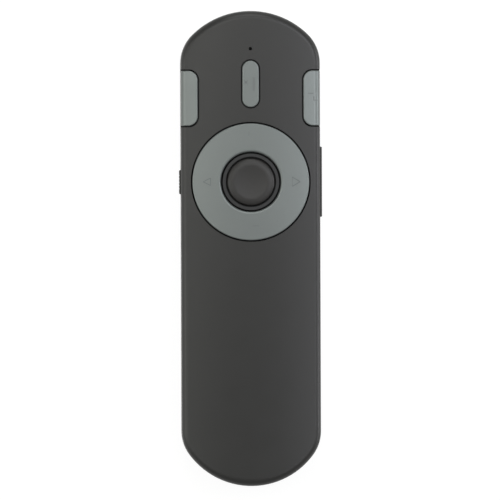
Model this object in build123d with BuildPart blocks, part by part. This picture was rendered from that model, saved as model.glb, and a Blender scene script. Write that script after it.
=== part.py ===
"""Wireless presentation clicker, in millimetres.

The clicker lies on its flat underside at z = 0, centred on x = 0 and y = 0.
The front end, with the laser, points along +Y and the keys face +Z.
"""

import os
from math import radians, sin

from build123d import *

os.makedirs("parts", exist_ok=True)

# ---------------------------------------------------------------- dimensions

# Case
case_length = 128.0
case_width = 37.5
case_height = 18.0
crown_drop = 2.1
front_rise = 14.0
rear_rise = 14.8
shoulder_radius = 10.8
top_edge_radius = 2.0
bottom_edge_radius = 5.0
least_edge_radius = 0.4
wall = 1.6
parting_z = 9.3
lip_height = 0.9
lip_thickness = 0.7
lip_gap = 0.1
seam_groove = 0.25
boss_wall = 1.1
rib_thickness = 0.9
roof_rib_ys = (-10.0, -25.0, -40.0)

# Clearances
key_gap = 0.35
slide_gap = 0.15
running_gap = 0.05
free_gap = 0.3
cell_gap = 0.2

# Ring key, its collar and the cap inside it
dial_y = 17.95
dial_radius = 15.75
dial_gap = 0.4
dial_width = 7.75
dial_proud = 0.15
dial_underside_z = 15.6
dial_edge_radius = 0.3
dial_bore_edge_radius = 0.6
nub_radius = 0.9
nub_clearance = 0.7
collar_gap = 0.4
collar_wall = 0.8
cap_gap = 0.45
cap_shoulder = 1.85
cap_rise = 0.8
cap_dish_depth = 0.3
cap_wall = 1.2
cap_roof_z = 17.0
cap_flange_height = 0.8
cap_flange_z = 13.7

# Gimbal under the ring key
gimbal_z = 14.3
gimbal_clearance = 1.3
gimbal_width = 1.4
gimbal_height = 1.0
pin_radius = 0.4
lug_clearance = 0.4
lug_thickness = 0.9
lug_width = 2.4
lug_wall = 0.4

# Pill key and side keys
laser_key_width = 4.5
laser_key_length = 12.6
laser_key_y = 44.31
flange_overhang = 0.8
flange_height = 0.8
side_key_inner_x = 14.2
side_key_rear_y = 33.05
side_key_length = 14.9
side_key_corner = 2.5
side_key_skirt_z = 12.2
side_key_dome_x = 12.8
side_key_flange_z = 14.2
key_travel = 0.5
stem_radius = 1.1

# Edge controls
control_proud = 0.5
rocker_length = 18.9
rocker_low_z = 11.3
rocker_high_z = 14.0
rocker_depth = 3.3
rocker_flange_overlap = 0.6
rocker_pin_inset = 1.75
rocker_angle = 2.3
ear_height = 0.7
ear_width = 2.4
slider_length = 6.5
slider_low_z = 11.3
slider_high_z = 13.8
slider_travel = 2.0
slider_flange_overlap = 0.6
slider_plate = 0.6
knob_grooves = 5
knob_groove_pitch = 0.9
knob_groove_radius = 0.12

# Circuit board, keypad mat and key frame
board_bottom_z = 10.2
board_thickness = 1.0
board_inset = 3.75
board_rear_y = 2.5
board_front_inset = 6.5
mat_thickness = 0.6
mat_front_y = 49.8
mat_corner = 2.7
dome_base_radius = 1.3
dome_top_radius = 0.8
dome_height = 1.0
frame_gap = 0.4
frame_thickness = 1.0
frame_overhang = 0.1
frame_shoulder_y = 31.5
frame_front_y = 37.2
frame_front_half_width = 10.6
frame_front_screw_x = 8.6
frame_front_screw_y = 35.2
frame_rear_screw_inset = 0.9
frame_rear_screw_y = 5.0
frame_screw_radius = 0.75
frame_screw_head = 1.4
frame_screw_head_height = 0.8
frame_screw_length = 2.6
post_points = [(-12.6, 9.0), (12.6, 9.0)]
post_radius = 1.6
post_pin_radius = 0.7

# Board parts
side_switch_offset = 5.5
side_switch_width = 4.6
side_switch_depth = 2.0
side_switch_height = 1.7
plunger_width = 1.6
plunger_height = 0.9
power_switch_length = 8.4
power_switch_width = 2.5
power_switch_height = 1.7
lever_width = 1.2
lever_height = 0.8
chip_size = 5.0
chip_height = 0.9
chip_offset = 6.5
chip_y = 26.5
crystal_length = 3.2
crystal_width = 2.5
crystal_height = 1.2
inductor_radius = 2.0
capacitor_width = 1.0
capacitor_length = 1.8
capacitor_height = 0.6
led_inset = 10.2
led_size = 1.6
led_height = 0.7
pipe_tip_radius = 0.42
pipe_foot_radius = 1.0
pipe_foot_z = 16.0

# Laser
laser_z = 6.6
barrel_radius = 3.0
barrel_bore_radius = 2.0
barrel_length = 14.0
barrel_inset = 4.5
diode_radius = 2.6
diode_length = 2.5
diode_flange = 0.8
lens_thickness = 1.2
aperture_radius = 1.5
window_radius = 2.1
window_thickness = 1.0
aperture_wall = 1.0
lead_radius = 0.25
lead_spread = 1.0
lead_bend = 0.8
cradle_half_width = 4.2
cradle_top_z = 8.0

# Batteries
cell_radius = 5.25
cell_length = 44.5
cell_nub_radius = 1.9
cell_nub_height = 0.8
cell_edge_radius = 0.4
cell_bottom_z = 2.2
cell_pair_gap = 0.4
contact_thickness = 0.3
contact_width = 8.0
contact_height = 8.0
tab_width = 2.0
spring_wire = 0.4
spring_radius = 2.5
spring_pitch = 0.55
spring_height = 1.5
bay_wall = 1.2
bay_front_y = 1.0

# Battery door
door_thickness = 1.6
door_tongue = 0.8
door_half_width = 13.2
door_tongue_reach = 1.0
door_front_y = 4.0
door_tail_z = 4.6
rail_width = 0.95
rail_height = 1.15
grip_grooves = 5
grip_pitch = 1.6
grip_width = 14.0
grip_depth = 0.35
grip_inset = 14.0

# Receiver
receiver_z = 9.3
receiver_cap_width = 14.0
receiver_cap_height = 5.6
receiver_cap_corner = 1.6
receiver_cap_depth = 4.6
receiver_gap = 0.25
plug_width = 12.0
plug_height = 4.5
plug_wall = 0.3
plug_length = 11.8
tongue_width = 11.0
tongue_thickness = 1.8
sleeve_wall = 1.0
deck_gap = 0.15
nail_groove_radius = 0.5

# Housing screws
screw_radius = 1.0
screw_head_radius = 1.9
screw_head_height = 1.2
rear_screw_x = 10.8
rear_screw_inset = 11.0
front_screw_x = 9.0
front_screw_inset = 11.5
front_screw_seat_z = 3.0
front_screw_length = 11.0
rear_screw_length = 7.0

# ------------------------------------------------------- sizes that follow

half_width = case_width / 2
front_y = case_length / 2
rear_y = -case_length / 2
inner_x = half_width - wall
roof_z = case_height - wall
# Radius of the crowned top, which falls by crown_drop from the middle to the sides.
crown_radius = (half_width**2 + crown_drop**2) / (2 * crown_drop)
board_top_z = board_bottom_z + board_thickness
mat_top_z = board_top_z + mat_thickness
dome_top_z = mat_top_z + dome_height
stem_end_z = dome_top_z + running_gap
frame_bottom_z = mat_top_z + frame_gap
frame_top_z = frame_bottom_z + frame_thickness
board_half_width = half_width - board_inset
board_front_y = front_y - board_front_inset
frame_half_width = board_half_width + frame_overhang
frame_rear_screw_x = frame_half_width - frame_rear_screw_inset
frame_screw_points = [
    (-frame_front_screw_x, frame_front_screw_y),
    (frame_front_screw_x, frame_front_screw_y),
    (-frame_rear_screw_x, frame_rear_screw_y),
    (frame_rear_screw_x, frame_rear_screw_y),
]
led_y = front_y - led_inset
dial_bore_radius = dial_radius - dial_width
collar_radius = dial_bore_radius - collar_gap
collar_bore_radius = collar_radius - collar_wall
cap_radius = collar_bore_radius - cap_gap
cap_rim_radius = cap_radius - cap_shoulder
cap_rim_z = case_height + cap_rise
cap_shoulder_z = cap_rim_z - cap_shoulder
gimbal_radius = collar_radius + gimbal_clearance + gimbal_width
lug_reach = gimbal_radius + lug_clearance
lug_end = lug_reach + lug_thickness
nub_reach = lug_end + nub_clearance + nub_radius
lug_top_z = gimbal_z + pin_radius + running_gap + lug_wall
lug_bottom_z = gimbal_z - pin_radius - running_gap - lug_wall
side_key_y = side_key_rear_y + side_key_length / 2
dial_nubs = {
    "right": (nub_reach, dial_y),
    "front": (0, dial_y + nub_reach),
    "left": (-nub_reach, dial_y),
    "rear": (0, dial_y - nub_reach),
}
cell_spacing = 2 * cell_radius + cell_pair_gap
bay_half_width = cell_spacing / 2 + cell_radius + cell_gap
bay_outer_x = bay_half_width + bay_wall
bay_length = cell_length + spring_height + 2 * contact_thickness
bay_rear_y = bay_front_y - bay_length
cell_z = cell_bottom_z + cell_radius
cell_top_z = cell_bottom_z + 2 * cell_radius
bay_roof_z = cell_top_z + cell_gap
bay_top_z = bay_roof_z + rib_thickness
bay_front_outer_y = bay_front_y + bay_wall
bay_rear_outer_y = bay_rear_y - bay_wall
door_tongue_x = door_half_width + door_tongue_reach
rail_outer_x = door_tongue_x + slide_gap + rail_width
rail_top_z = door_thickness + slide_gap + rail_height
rail_front_y = door_front_y + door_tongue_reach + slide_gap + rail_width
grip_y = rear_y + grip_inset
receiver_cap_inner_y = rear_y + receiver_cap_depth
plug_tip_y = receiver_cap_inner_y + plug_length
sleeve_bore_width = plug_width + 2 * slide_gap
sleeve_bore_height = plug_height + 2 * slide_gap
sleeve_width = sleeve_bore_width + 2 * sleeve_wall
sleeve_height = sleeve_bore_height + 2 * sleeve_wall
sleeve_mouth_y = receiver_cap_inner_y + free_gap
sleeve_bottom_z = receiver_z - sleeve_height / 2
sleeve_top_z = receiver_z + sleeve_height / 2
deck_bottom_z = door_tail_z + deck_gap
rocker_inner_x = half_width + control_proud - rocker_depth
rocker_pin_x = half_width - rocker_pin_inset
rocker_swing = rocker_length / 2 * sin(radians(rocker_angle))
switch_swing = (side_switch_offset + plunger_width / 2) * sin(radians(rocker_angle))
lip_low_z = parting_z + lip_height + lip_gap
lower_ear_z = rocker_low_z - slide_gap
upper_ear_z = rocker_high_z + slide_gap
rocker_pin_low_z = lower_ear_z - ear_height
rocker_pin_high_z = upper_ear_z + ear_height
door_way_x = door_half_width + slide_gap
tongue_way_x = door_tongue_x + slide_gap
tongue_way_y = door_front_y + door_tongue_reach + slide_gap
barrel_front_y = front_y - barrel_inset
barrel_rear_y = barrel_front_y - barrel_length
window_seat_y = front_y - aperture_wall
slider_inner_x = inner_x - slide_gap - slider_plate
boss_bore = screw_radius + running_gap
boss_radius = boss_bore + boss_wall
frame_boss_radius = frame_screw_radius + running_gap + frame_thickness
front_screw_y = front_y - front_screw_inset
rear_screw_y = rear_y + rear_screw_inset
front_screw_points = [(-front_screw_x, front_screw_y), (front_screw_x, front_screw_y)]
rear_screw_points = [(-rear_screw_x, rear_screw_y), (rear_screw_x, rear_screw_y)]

laser_axis = [(0, laser_z)]

on_base = (Align.CENTER, Align.CENTER, Align.MIN)
under_top = (Align.CENTER, Align.CENTER, Align.MAX)
both_sides = (-1, 1)


# ------------------------------------------------------------ shared shapes


def span_box(x_span, y_span, z_span, mode=Mode.ADD):
    """A box between two values on each axis."""
    spans = (x_span, y_span, z_span)
    middle = [sum(span) / 2 for span in spans]
    size = [max(span) - min(span) for span in spans]
    with Locations(tuple(middle)):
        Box(*size, mode=mode)


def posts(points, low_z, high_z, radius, mode=Mode.ADD):
    """Round posts or holes at the points, from one height to another."""
    with Locations(*[(x, y, low_z) for x, y in points]):
        Cylinder(radius, high_z - low_z, align=on_base, mode=mode)


def rods(points, rear, front, radius, mode=Mode.ADD):
    """Round rods or bores along Y through the points (x, z)."""
    middle = (rear + front) / 2
    with Locations(*[(x, middle, z) for x, z in points]):
        Cylinder(radius, front - rear, rotation=(90, 0, 0), mode=mode)


def case_outline(inset=0.0):
    """The case in plan: straight sides, and an end of three arcs at each end."""
    half = half_width - inset
    shoulder = shoulder_radius - inset
    with BuildSketch() as outline:
        with BuildLine():
            for end, rise in ((1, front_rise), (-1, rear_rise)):
                side = Vector(half, end * (case_length / 2 - rise))
                tip = Vector(0, end * (case_length / 2 - inset))
                # The radius at which the tip's wide arc meets both shoulders smoothly.
                wide_arc = half_width**2 + rise**2 - 2 * half_width * shoulder_radius
                tip_arc = wide_arc / (2 * (rise - shoulder_radius)) - inset
                tip_centre = tip - Vector(0, end * tip_arc)
                shoulder_centre = side - Vector(shoulder, 0)
                touch = tip_centre + (shoulder_centre - tip_centre).normalized() * tip_arc
                mirrored = Vector(-touch.X, touch.Y)
                ThreePointArc(mirrored, tip, touch)
                TangentArc(side, touch, tangent=(0, end))
                TangentArc((-half, side.Y), mirrored, tangent=(0, end))
            for side_x in (-half, half):
                Line((side_x, front_y - front_rise), (side_x, rear_y + rear_rise))
        make_face()
    return outline.sketch


def crown(inset=0.0):
    """Everything below the crowned top face, moved down by the inset."""
    with BuildPart() as below:
        with BuildSketch(Plane.XZ):
            with Locations((0, case_height - crown_radius)):
                Circle(crown_radius - inset)
        extrude(amount=case_length, both=True)
    return below.part


def case_form(inset=0.0):
    """The whole case as one solid, moved inwards by the inset all round."""
    with BuildPart() as form:
        with BuildSketch(Plane.XY.offset(inset)):
            add(case_outline(inset))
        extrude(amount=case_height)
        add(crown(inset), mode=Mode.INTERSECT)
        top_edges = form.faces().sort_by(Axis.Z)[-1].edges()
        fillet(top_edges, max(top_edge_radius - inset, least_edge_radius))
        bottom_edges = form.faces().sort_by(Axis.Z)[0].edges()
        fillet(bottom_edges, max(bottom_edge_radius - inset, least_edge_radius))
    return form.part


def side_key_prism(side, grow, low_z):
    """The upright block that a side key fills, or with a gap its opening."""
    inner_edge = side_key_inner_x - grow
    reach = case_width - inner_edge
    with BuildPart() as prism:
        with BuildSketch(Plane.XY.offset(low_z)):
            with Locations((side * (inner_edge + reach / 2), side_key_y)):
                RectangleRounded(reach, side_key_length + 2 * grow, side_key_corner + grow)
        extrude(amount=case_height)
    return prism.part


outer_form = case_form()
inner_form = case_form(wall)

# ----------------------------------------------------------------- housing

# What is hollow in the upper half: the inside less its bosses, ribs and ears.
with BuildPart() as top_hollow:
    add(inner_form)
    posts(frame_screw_points, frame_top_z, case_height, frame_boss_radius, Mode.SUBTRACT)
    posts(front_screw_points, board_top_z, case_height, boss_radius, Mode.SUBTRACT)
    posts(rear_screw_points, sleeve_bottom_z, case_height, boss_radius, Mode.SUBTRACT)
    pipe_sleeve_radius = pipe_foot_radius + running_gap + rib_thickness
    posts([(0, led_y)], frame_top_z, case_height, pipe_sleeve_radius, Mode.SUBTRACT)
    for rib_y in roof_rib_ys:
        rib_z = (bay_top_z + free_gap, case_height)
        span_box((-bay_outer_x, bay_outer_x), (rib_y, rib_y + rib_thickness), rib_z, Mode.SUBTRACT)
    # Two ribs hold the receiver's sleeve down.
    for rib_y in (sleeve_mouth_y + wall, bay_rear_outer_y - 2 * wall):
        rib_z = (sleeve_top_z, case_height)
        span_box((-plug_width / 2, plug_width / 2), (rib_y, rib_y + rib_thickness), rib_z, Mode.SUBTRACT)
    # Ears above and below the rocker take its pins.
    ear_x = (rocker_pin_x - rib_thickness, half_width)
    ear_y = (dial_y - ear_width / 2, dial_y + ear_width / 2)
    span_box(ear_x, ear_y, (lower_ear_z - ear_height, lower_ear_z), Mode.SUBTRACT)
    span_box(ear_x, ear_y, (upper_ear_z, case_height), Mode.SUBTRACT)

with BuildPart() as top_shell:
    add(outer_form)
    add(top_hollow.part, mode=Mode.SUBTRACT)
    split(bisect_by=Plane.XY.offset(parting_z), keep=Keep.TOP)
    # Rebate that takes the lip of the lower half, and the seam groove outside.
    with BuildSketch(Plane.XY.offset(parting_z)):
        add(case_outline(wall - lip_thickness - lip_gap))
        add(case_outline(wall + lip_gap), mode=Mode.SUBTRACT)
    extrude(amount=lip_low_z - parting_z, mode=Mode.SUBTRACT)
    with BuildSketch(Plane.XY.offset(parting_z)):
        add(case_outline(-seam_groove))
        add(case_outline(seam_groove), mode=Mode.SUBTRACT)
    extrude(amount=seam_groove, mode=Mode.SUBTRACT)
    # Openings for the ring key, the pill key and the light pipe.
    posts([(0, dial_y)], frame_top_z, case_height, dial_radius + dial_gap, Mode.SUBTRACT)
    with BuildSketch(Plane.XY.offset(frame_top_z)):
        with Locations((0, laser_key_y)):
            SlotOverall(
                laser_key_length + 2 * key_gap,
                laser_key_width + 2 * key_gap,
                rotation=90,
            )
    extrude(amount=case_height, mode=Mode.SUBTRACT)
    led_point = [(0, led_y)]
    posts(led_point, frame_top_z, case_height, pipe_tip_radius + running_gap, Mode.SUBTRACT)
    posts(led_point, frame_top_z, pipe_foot_z, pipe_foot_radius + running_gap, Mode.SUBTRACT)
    # Openings that the side keys wrap through, with a lip behind each key's skirt.
    opening_low_z = side_key_skirt_z - key_travel - slide_gap
    lip_high_z = side_key_flange_z - key_travel - running_gap
    lip_reach = side_key_length / 2 + wall
    lip_y = (side_key_y - lip_reach, side_key_y + lip_reach)
    for side in both_sides:
        add(side_key_prism(side, key_gap, opening_low_z), mode=Mode.SUBTRACT)
        lip_inner_x = side * (inner_x - slide_gap - lip_thickness)
        span_box((lip_inner_x, side * inner_x), lip_y, (lip_low_z, opening_low_z))
        span_box((lip_inner_x, side * (inner_x - slide_gap)), lip_y, (opening_low_z, lip_high_z))
    # Slots for the two edge controls.
    rocker_end = rocker_length / 2 + 2 * slide_gap
    span_box(
        (inner_x - wall, case_width),
        (dial_y - rocker_end, dial_y + rocker_end),
        (lower_ear_z, upper_ear_z),
        Mode.SUBTRACT,
    )
    rocker_axis = [(rocker_pin_x, dial_y)]
    posts(rocker_axis, rocker_pin_low_z, rocker_pin_high_z, pin_radius + running_gap, Mode.SUBTRACT)
    slider_end = slider_length / 2 + slide_gap
    span_box(
        (-case_width, -inner_x + wall),
        (dial_y - slider_end, dial_y + slider_end + slider_travel),
        (slider_low_z - slide_gap, slider_high_z + slide_gap),
        Mode.SUBTRACT,
    )
    # Upper half of the receiver's doorway.
    span_box(
        (-receiver_cap_width / 2 - receiver_gap, receiver_cap_width / 2 + receiver_gap),
        (rear_y - wall, receiver_cap_inner_y),
        (parting_z - wall, receiver_z + receiver_cap_height / 2 + receiver_gap),
        Mode.SUBTRACT,
    )
    # Pilot holes of the screws.
    for points, seat_z, length, bore in (
        (front_screw_points, front_screw_seat_z, front_screw_length, boss_bore),
        (rear_screw_points, deck_bottom_z, rear_screw_length, boss_bore),
        (frame_screw_points, frame_bottom_z, frame_screw_length, frame_screw_radius + running_gap),
    ):
        posts(points, seat_z, seat_z + length + slide_gap, bore, Mode.SUBTRACT)

# What is hollow in the lower half: the inside less the battery bay, the door's
# rails, the receiver's deck, the laser cradle and the board's posts.
with BuildPart() as bottom_hollow:
    add(inner_form)
    bay_x = (-bay_outer_x, bay_outer_x)
    bay_y = (bay_rear_outer_y, bay_front_outer_y)
    deck_y = (rear_y, bay_rear_outer_y)
    span_box((-rail_outer_x, rail_outer_x), (rear_y, rail_front_y), (0, rail_top_z), Mode.SUBTRACT)
    span_box(bay_x, bay_y, (0, bay_top_z), Mode.SUBTRACT)
    span_box((-half_width, half_width), deck_y, (deck_bottom_z, sleeve_bottom_z), Mode.SUBTRACT)
    for side in both_sides:
        guide_inner = side * (sleeve_width / 2 + slide_gap)
        guide_x = (guide_inner, guide_inner + side * rib_thickness)
        guide_y = (sleeve_mouth_y, bay_rear_outer_y)
        span_box(guide_x, guide_y, (deck_bottom_z, parting_z), Mode.SUBTRACT)
    posts(front_screw_points, 0, board_bottom_z, screw_head_radius + boss_wall, Mode.SUBTRACT)
    posts(post_points, 0, board_bottom_z, post_radius, Mode.SUBTRACT)
    for cradle_y in (barrel_rear_y + wall, barrel_front_y - 2 * wall):
        cradle_x = (-cradle_half_width, cradle_half_width)
        span_box(cradle_x, (cradle_y - rib_thickness, cradle_y), (0, cradle_top_z), Mode.SUBTRACT)

with BuildPart() as bottom_shell:
    add(outer_form)
    add(bottom_hollow.part, mode=Mode.SUBTRACT)
    # Above the seam only the lip, the bay and the board's posts are left.
    with BuildSketch(Plane.XY.offset(parting_z)):
        add(case_outline(-wall))
        add(case_outline(wall - lip_thickness), mode=Mode.SUBTRACT)
    extrude(amount=case_height, mode=Mode.SUBTRACT)
    with BuildSketch(Plane.XY.offset(parting_z + lip_height)):
        add(case_outline(wall - lip_thickness - lip_gap))
        add(case_outline(wall + top_edge_radius), mode=Mode.SUBTRACT)
    extrude(amount=case_height, mode=Mode.SUBTRACT)
    span_box((-half_width, half_width), (rear_y, front_y), (bay_top_z, case_height), Mode.SUBTRACT)
    # The bay's roof stays clear of the upper half's.
    add(crown(wall + free_gap), mode=Mode.INTERSECT)
    # Battery bay, open towards the door, and the room under the receiver's deck.
    cell_room_x = (-bay_half_width, bay_half_width)
    span_box(cell_room_x, (bay_rear_y, bay_front_y), (0, bay_roof_z), Mode.SUBTRACT)
    span_box(bay_x, (rear_y + wall, bay_rear_outer_y), (door_thickness, deck_bottom_z), Mode.SUBTRACT)
    # Way of the door, of its tongues and of its tail wall.
    door_way = (-door_way_x, door_way_x)
    tongue_way = (-tongue_way_x, tongue_way_x)
    door_way_z = door_thickness + slide_gap
    span_box(door_way, (rear_y, door_front_y + slide_gap), (0, door_way_z), Mode.SUBTRACT)
    span_box(tongue_way, (rear_y, tongue_way_y), (door_tongue - slide_gap, door_way_z), Mode.SUBTRACT)
    span_box(door_way, (rear_y, rear_y + rear_rise), (0, deck_bottom_z), Mode.SUBTRACT)
    # Lower half of the receiver's doorway.
    span_box(
        (-receiver_cap_width / 2 - receiver_gap, receiver_cap_width / 2 + receiver_gap),
        (rear_y, receiver_cap_inner_y),
        (receiver_z - receiver_cap_height / 2 - receiver_gap, parting_z + wall),
        Mode.SUBTRACT,
    )
    # Laser: bore through the cradle, aperture and window seat.
    rods(laser_axis, barrel_rear_y, barrel_front_y, barrel_radius + running_gap, Mode.SUBTRACT)
    rods(laser_axis, barrel_front_y, front_y, aperture_radius, Mode.SUBTRACT)
    rods(laser_axis, barrel_front_y, window_seat_y, window_radius + running_gap, Mode.SUBTRACT)
    # Screw holes and head recesses.
    posts(front_screw_points, 0, front_screw_seat_z, screw_head_radius + slide_gap, Mode.SUBTRACT)
    posts(front_screw_points, 0, board_bottom_z, boss_bore + slide_gap, Mode.SUBTRACT)
    posts(rear_screw_points, deck_bottom_z, sleeve_bottom_z, boss_bore + slide_gap, Mode.SUBTRACT)
    # Openings in the bay's front wall for the contact tabs.
    tab_way_z = (board_bottom_z - contact_thickness - slide_gap, board_bottom_z)
    for tab_x in (-cell_spacing / 2, cell_spacing / 2):
        tab_way_x = (tab_x - tab_width / 2 - slide_gap, tab_x + tab_width / 2 + slide_gap)
        span_box(tab_way_x, (bay_front_y, bay_front_outer_y), tab_way_z, Mode.SUBTRACT)
    posts(post_points, board_bottom_z, board_top_z - slide_gap, post_pin_radius)

with BuildPart() as housing_screws:
    for points, seat_z, length in (
        (front_screw_points, front_screw_seat_z, front_screw_length),
        (rear_screw_points, deck_bottom_z, rear_screw_length),
    ):
        posts(points, seat_z - screw_head_height, seat_z, screw_head_radius)
        posts(points, seat_z, seat_z + length, screw_radius)

# ------------------------------------------------- board, mat and key frame

side_switch_points = [
    (board_half_width - side_switch_depth / 2, dial_y + offset_y)
    for offset_y in (-side_switch_offset, side_switch_offset)
]

with BuildPart() as main_pcb:
    with BuildSketch(Plane.XY.offset(board_bottom_z)):
        add(case_outline(board_inset))
        with Locations((0, (board_rear_y + board_front_y) / 2)):
            Rectangle(case_width, board_front_y - board_rear_y, mode=Mode.INTERSECT)
        with Locations(*front_screw_points):
            Circle(boss_bore + slide_gap, mode=Mode.SUBTRACT)
        with Locations(*post_points):
            Circle(post_pin_radius + running_gap, mode=Mode.SUBTRACT)
    extrude(amount=board_thickness)

with BuildPart() as keypad_mat:
    with BuildSketch(Plane.XY.offset(board_top_z)):
        with Locations((0, (board_rear_y + mat_front_y) / 2)):
            RectangleRounded(2 * board_half_width, mat_front_y - board_rear_y, mat_corner)
        with Locations(*frame_screw_points):
            Circle(frame_screw_head + free_gap, mode=Mode.SUBTRACT)
        with Locations(*side_switch_points):
            Rectangle(
                side_switch_depth + 2 * free_gap,
                side_switch_width + 2 * free_gap,
                mode=Mode.SUBTRACT,
            )
    extrude(amount=mat_thickness)

dome_points = {f"dial_dome_{name}": point for name, point in dial_nubs.items()}
dome_points["centre_dome"] = (0, dial_y)
dome_points["laser_dome"] = (0, laser_key_y)
dome_points["left_key_dome"] = (-side_key_dome_x, side_key_y)
dome_points["right_key_dome"] = (side_key_dome_x, side_key_y)

domes = {}
for dome_name, (dome_x, dome_y) in dome_points.items():
    with BuildPart() as dome:
        with Locations((dome_x, dome_y, mat_top_z)):
            Cone(dome_base_radius, dome_top_radius, dome_height, align=on_base)
    domes[dome_name] = dome

with BuildPart() as key_frame:
    with BuildSketch(Plane.XY.offset(frame_bottom_z)):
        with Locations((0, (board_rear_y + frame_shoulder_y) / 2)):
            Rectangle(2 * frame_half_width, frame_shoulder_y - board_rear_y)
        with Locations((0, (board_rear_y + frame_front_y) / 2)):
            Rectangle(2 * frame_front_half_width, frame_front_y - board_rear_y)
        with Locations(*frame_screw_points):
            Circle(frame_boss_radius)
        with Locations(*frame_screw_points):
            Circle(frame_screw_radius + running_gap, mode=Mode.SUBTRACT)
        with Locations(*dial_nubs.values()):
            Circle(dome_base_radius + free_gap, mode=Mode.SUBTRACT)
        for side in both_sides:
            with Locations((0, dial_y + side * (lug_reach + lug_end) / 2)):
                Rectangle(lug_width + 2 * free_gap, lug_thickness + 2 * free_gap, mode=Mode.SUBTRACT)
        with Locations(*side_switch_points):
            Rectangle(
                side_switch_depth + 4 * free_gap,
                side_switch_width + 2 * free_gap,
                mode=Mode.SUBTRACT,
            )
    extrude(amount=frame_thickness)
    # Collar between the ring key and the cap, crowned like the ring, with a neck
    # that keeps the cap in.
    posts([(0, dial_y)], frame_bottom_z, case_height + wall, collar_radius)
    add(crown(-dial_proud), mode=Mode.INTERSECT)
    posts([(0, dial_y)], frame_bottom_z, case_height + wall, collar_bore_radius, Mode.SUBTRACT)
    neck_low_z = cap_flange_z + cap_flange_height + free_gap
    posts([(0, dial_y)], neck_low_z, neck_low_z + frame_thickness, collar_bore_radius)
    posts([(0, dial_y)], neck_low_z, neck_low_z + frame_thickness, cap_radius + slide_gap, Mode.SUBTRACT)
    # Lugs that carry the gimbal's left and right pins.
    for side in both_sides:
        lug_x = (side * lug_reach, side * lug_end)
        span_box(lug_x, (dial_y - lug_width / 2, dial_y + lug_width / 2), (frame_bottom_z, lug_top_z))
        with Locations((sum(lug_x) / 2, dial_y, gimbal_z)):
            Cylinder(pin_radius + running_gap, lug_thickness, rotation=(0, 90, 0), mode=Mode.SUBTRACT)

with BuildPart() as frame_screws:
    head_low_z = frame_bottom_z - frame_screw_head_height
    posts(frame_screw_points, head_low_z, frame_bottom_z, frame_screw_head)
    posts(frame_screw_points, frame_bottom_z, frame_bottom_z + frame_screw_length, frame_screw_radius)

with BuildPart() as mcu_chip:
    with Locations((-chip_offset, chip_y, board_bottom_z)):
        Box(chip_size, chip_size, chip_height, align=under_top)

# Crystal, coin-shaped inductor and a block of capacitors beside the chip.
with BuildPart() as pcb_components:
    with Locations((0, chip_y, board_bottom_z)):
        Box(crystal_length, crystal_width, crystal_height, align=under_top)
    with Locations((chip_offset, chip_y - 2 * chip_size, board_bottom_z)):
        Cylinder(inductor_radius, crystal_height, align=under_top)
    with Locations((chip_offset, chip_y, board_bottom_z)):
        with GridLocations(2 * capacitor_width, 2 * capacitor_length, 3, 3):
            Box(capacitor_width, capacitor_length, capacitor_height, align=under_top)

with BuildPart() as side_switches:
    with Locations(*[(x, y, board_top_z) for x, y in side_switch_points]):
        Box(side_switch_depth, side_switch_width, side_switch_height, align=on_base)
    # Each plunger ends where the rocker meets it at the end of its swing.
    plunger_x = (board_half_width, rocker_inner_x - running_gap - switch_swing)
    plunger_z = (rocker_low_z + slide_gap, rocker_low_z + slide_gap + plunger_height)
    for _, switch_y in side_switch_points:
        span_box(plunger_x, (switch_y - plunger_width / 2, switch_y + plunger_width / 2), plunger_z)

lever_low_z = board_bottom_z - (power_switch_height + lever_height) / 2
lever_high_z = lever_low_z + lever_height
lever_tip_x = -board_half_width + power_switch_width - lever_width
lever_y = (dial_y - lever_width / 2, dial_y + lever_width / 2)

with BuildPart() as power_switch_body:
    span_box(
        (-board_half_width, -board_half_width + power_switch_width),
        (dial_y - power_switch_length / 2, dial_y + power_switch_length / 2),
        (board_bottom_z - power_switch_height, board_bottom_z),
    )
    span_box(
        (-half_width, lever_tip_x + slide_gap),
        (min(lever_y) - slide_gap, max(lever_y) + slider_travel + slide_gap),
        (lever_low_z - running_gap, lever_high_z + running_gap),
        Mode.SUBTRACT,
    )

with BuildPart() as status_led:
    with Locations((0, led_y, board_top_z)):
        Box(led_size, led_size / 2, led_height, align=on_base)

with BuildPart() as led_light_pipe:
    posts(led_point, board_top_z + led_height + running_gap, pipe_foot_z, pipe_foot_radius)
    posts(led_point, pipe_foot_z, case_height, pipe_tip_radius)

# -------------------------------------------------------------- top controls

with BuildPart() as dial_gimbal:
    posts([(0, dial_y)], gimbal_z - gimbal_height / 2, gimbal_z + gimbal_height / 2, gimbal_radius)
    with Locations((0, dial_y, gimbal_z)):
        Cylinder(pin_radius, 2 * lug_end, rotation=(0, 90, 0))
        Cylinder(pin_radius, 2 * lug_end, rotation=(90, 0, 0))
        Cylinder(gimbal_radius - gimbal_width, 2 * gimbal_height, mode=Mode.SUBTRACT)

with BuildPart() as dial_ring:
    posts([(0, dial_y)], dial_underside_z, case_height + wall, dial_radius)
    posts([(0, dial_y)], dial_underside_z, case_height + wall, dial_bore_radius, Mode.SUBTRACT)
    add(crown(-dial_proud), mode=Mode.INTERSECT)
    # The bore's edge, the shorter one, is rounded more softly than the outer one.
    for place, edge_radius in ((0, dial_bore_edge_radius), (-1, dial_edge_radius)):
        dial_top = dial_ring.faces().sort_by(Axis.Z)[-1]
        fillet(dial_top.edges().sort_by(SortBy.LENGTH)[place], edge_radius)
    posts(dial_nubs.values(), stem_end_z, dial_underside_z, nub_radius)
    # Lugs that hang on the gimbal's front and rear pins.
    for side in both_sides:
        lug_y = (dial_y + side * lug_reach, dial_y + side * lug_end)
        span_box((-lug_width / 2, lug_width / 2), lug_y, (lug_bottom_z, dial_underside_z))
    with Locations((0, dial_y, gimbal_z)):
        Cylinder(pin_radius + running_gap, 2 * lug_end, rotation=(90, 0, 0), mode=Mode.SUBTRACT)

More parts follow.
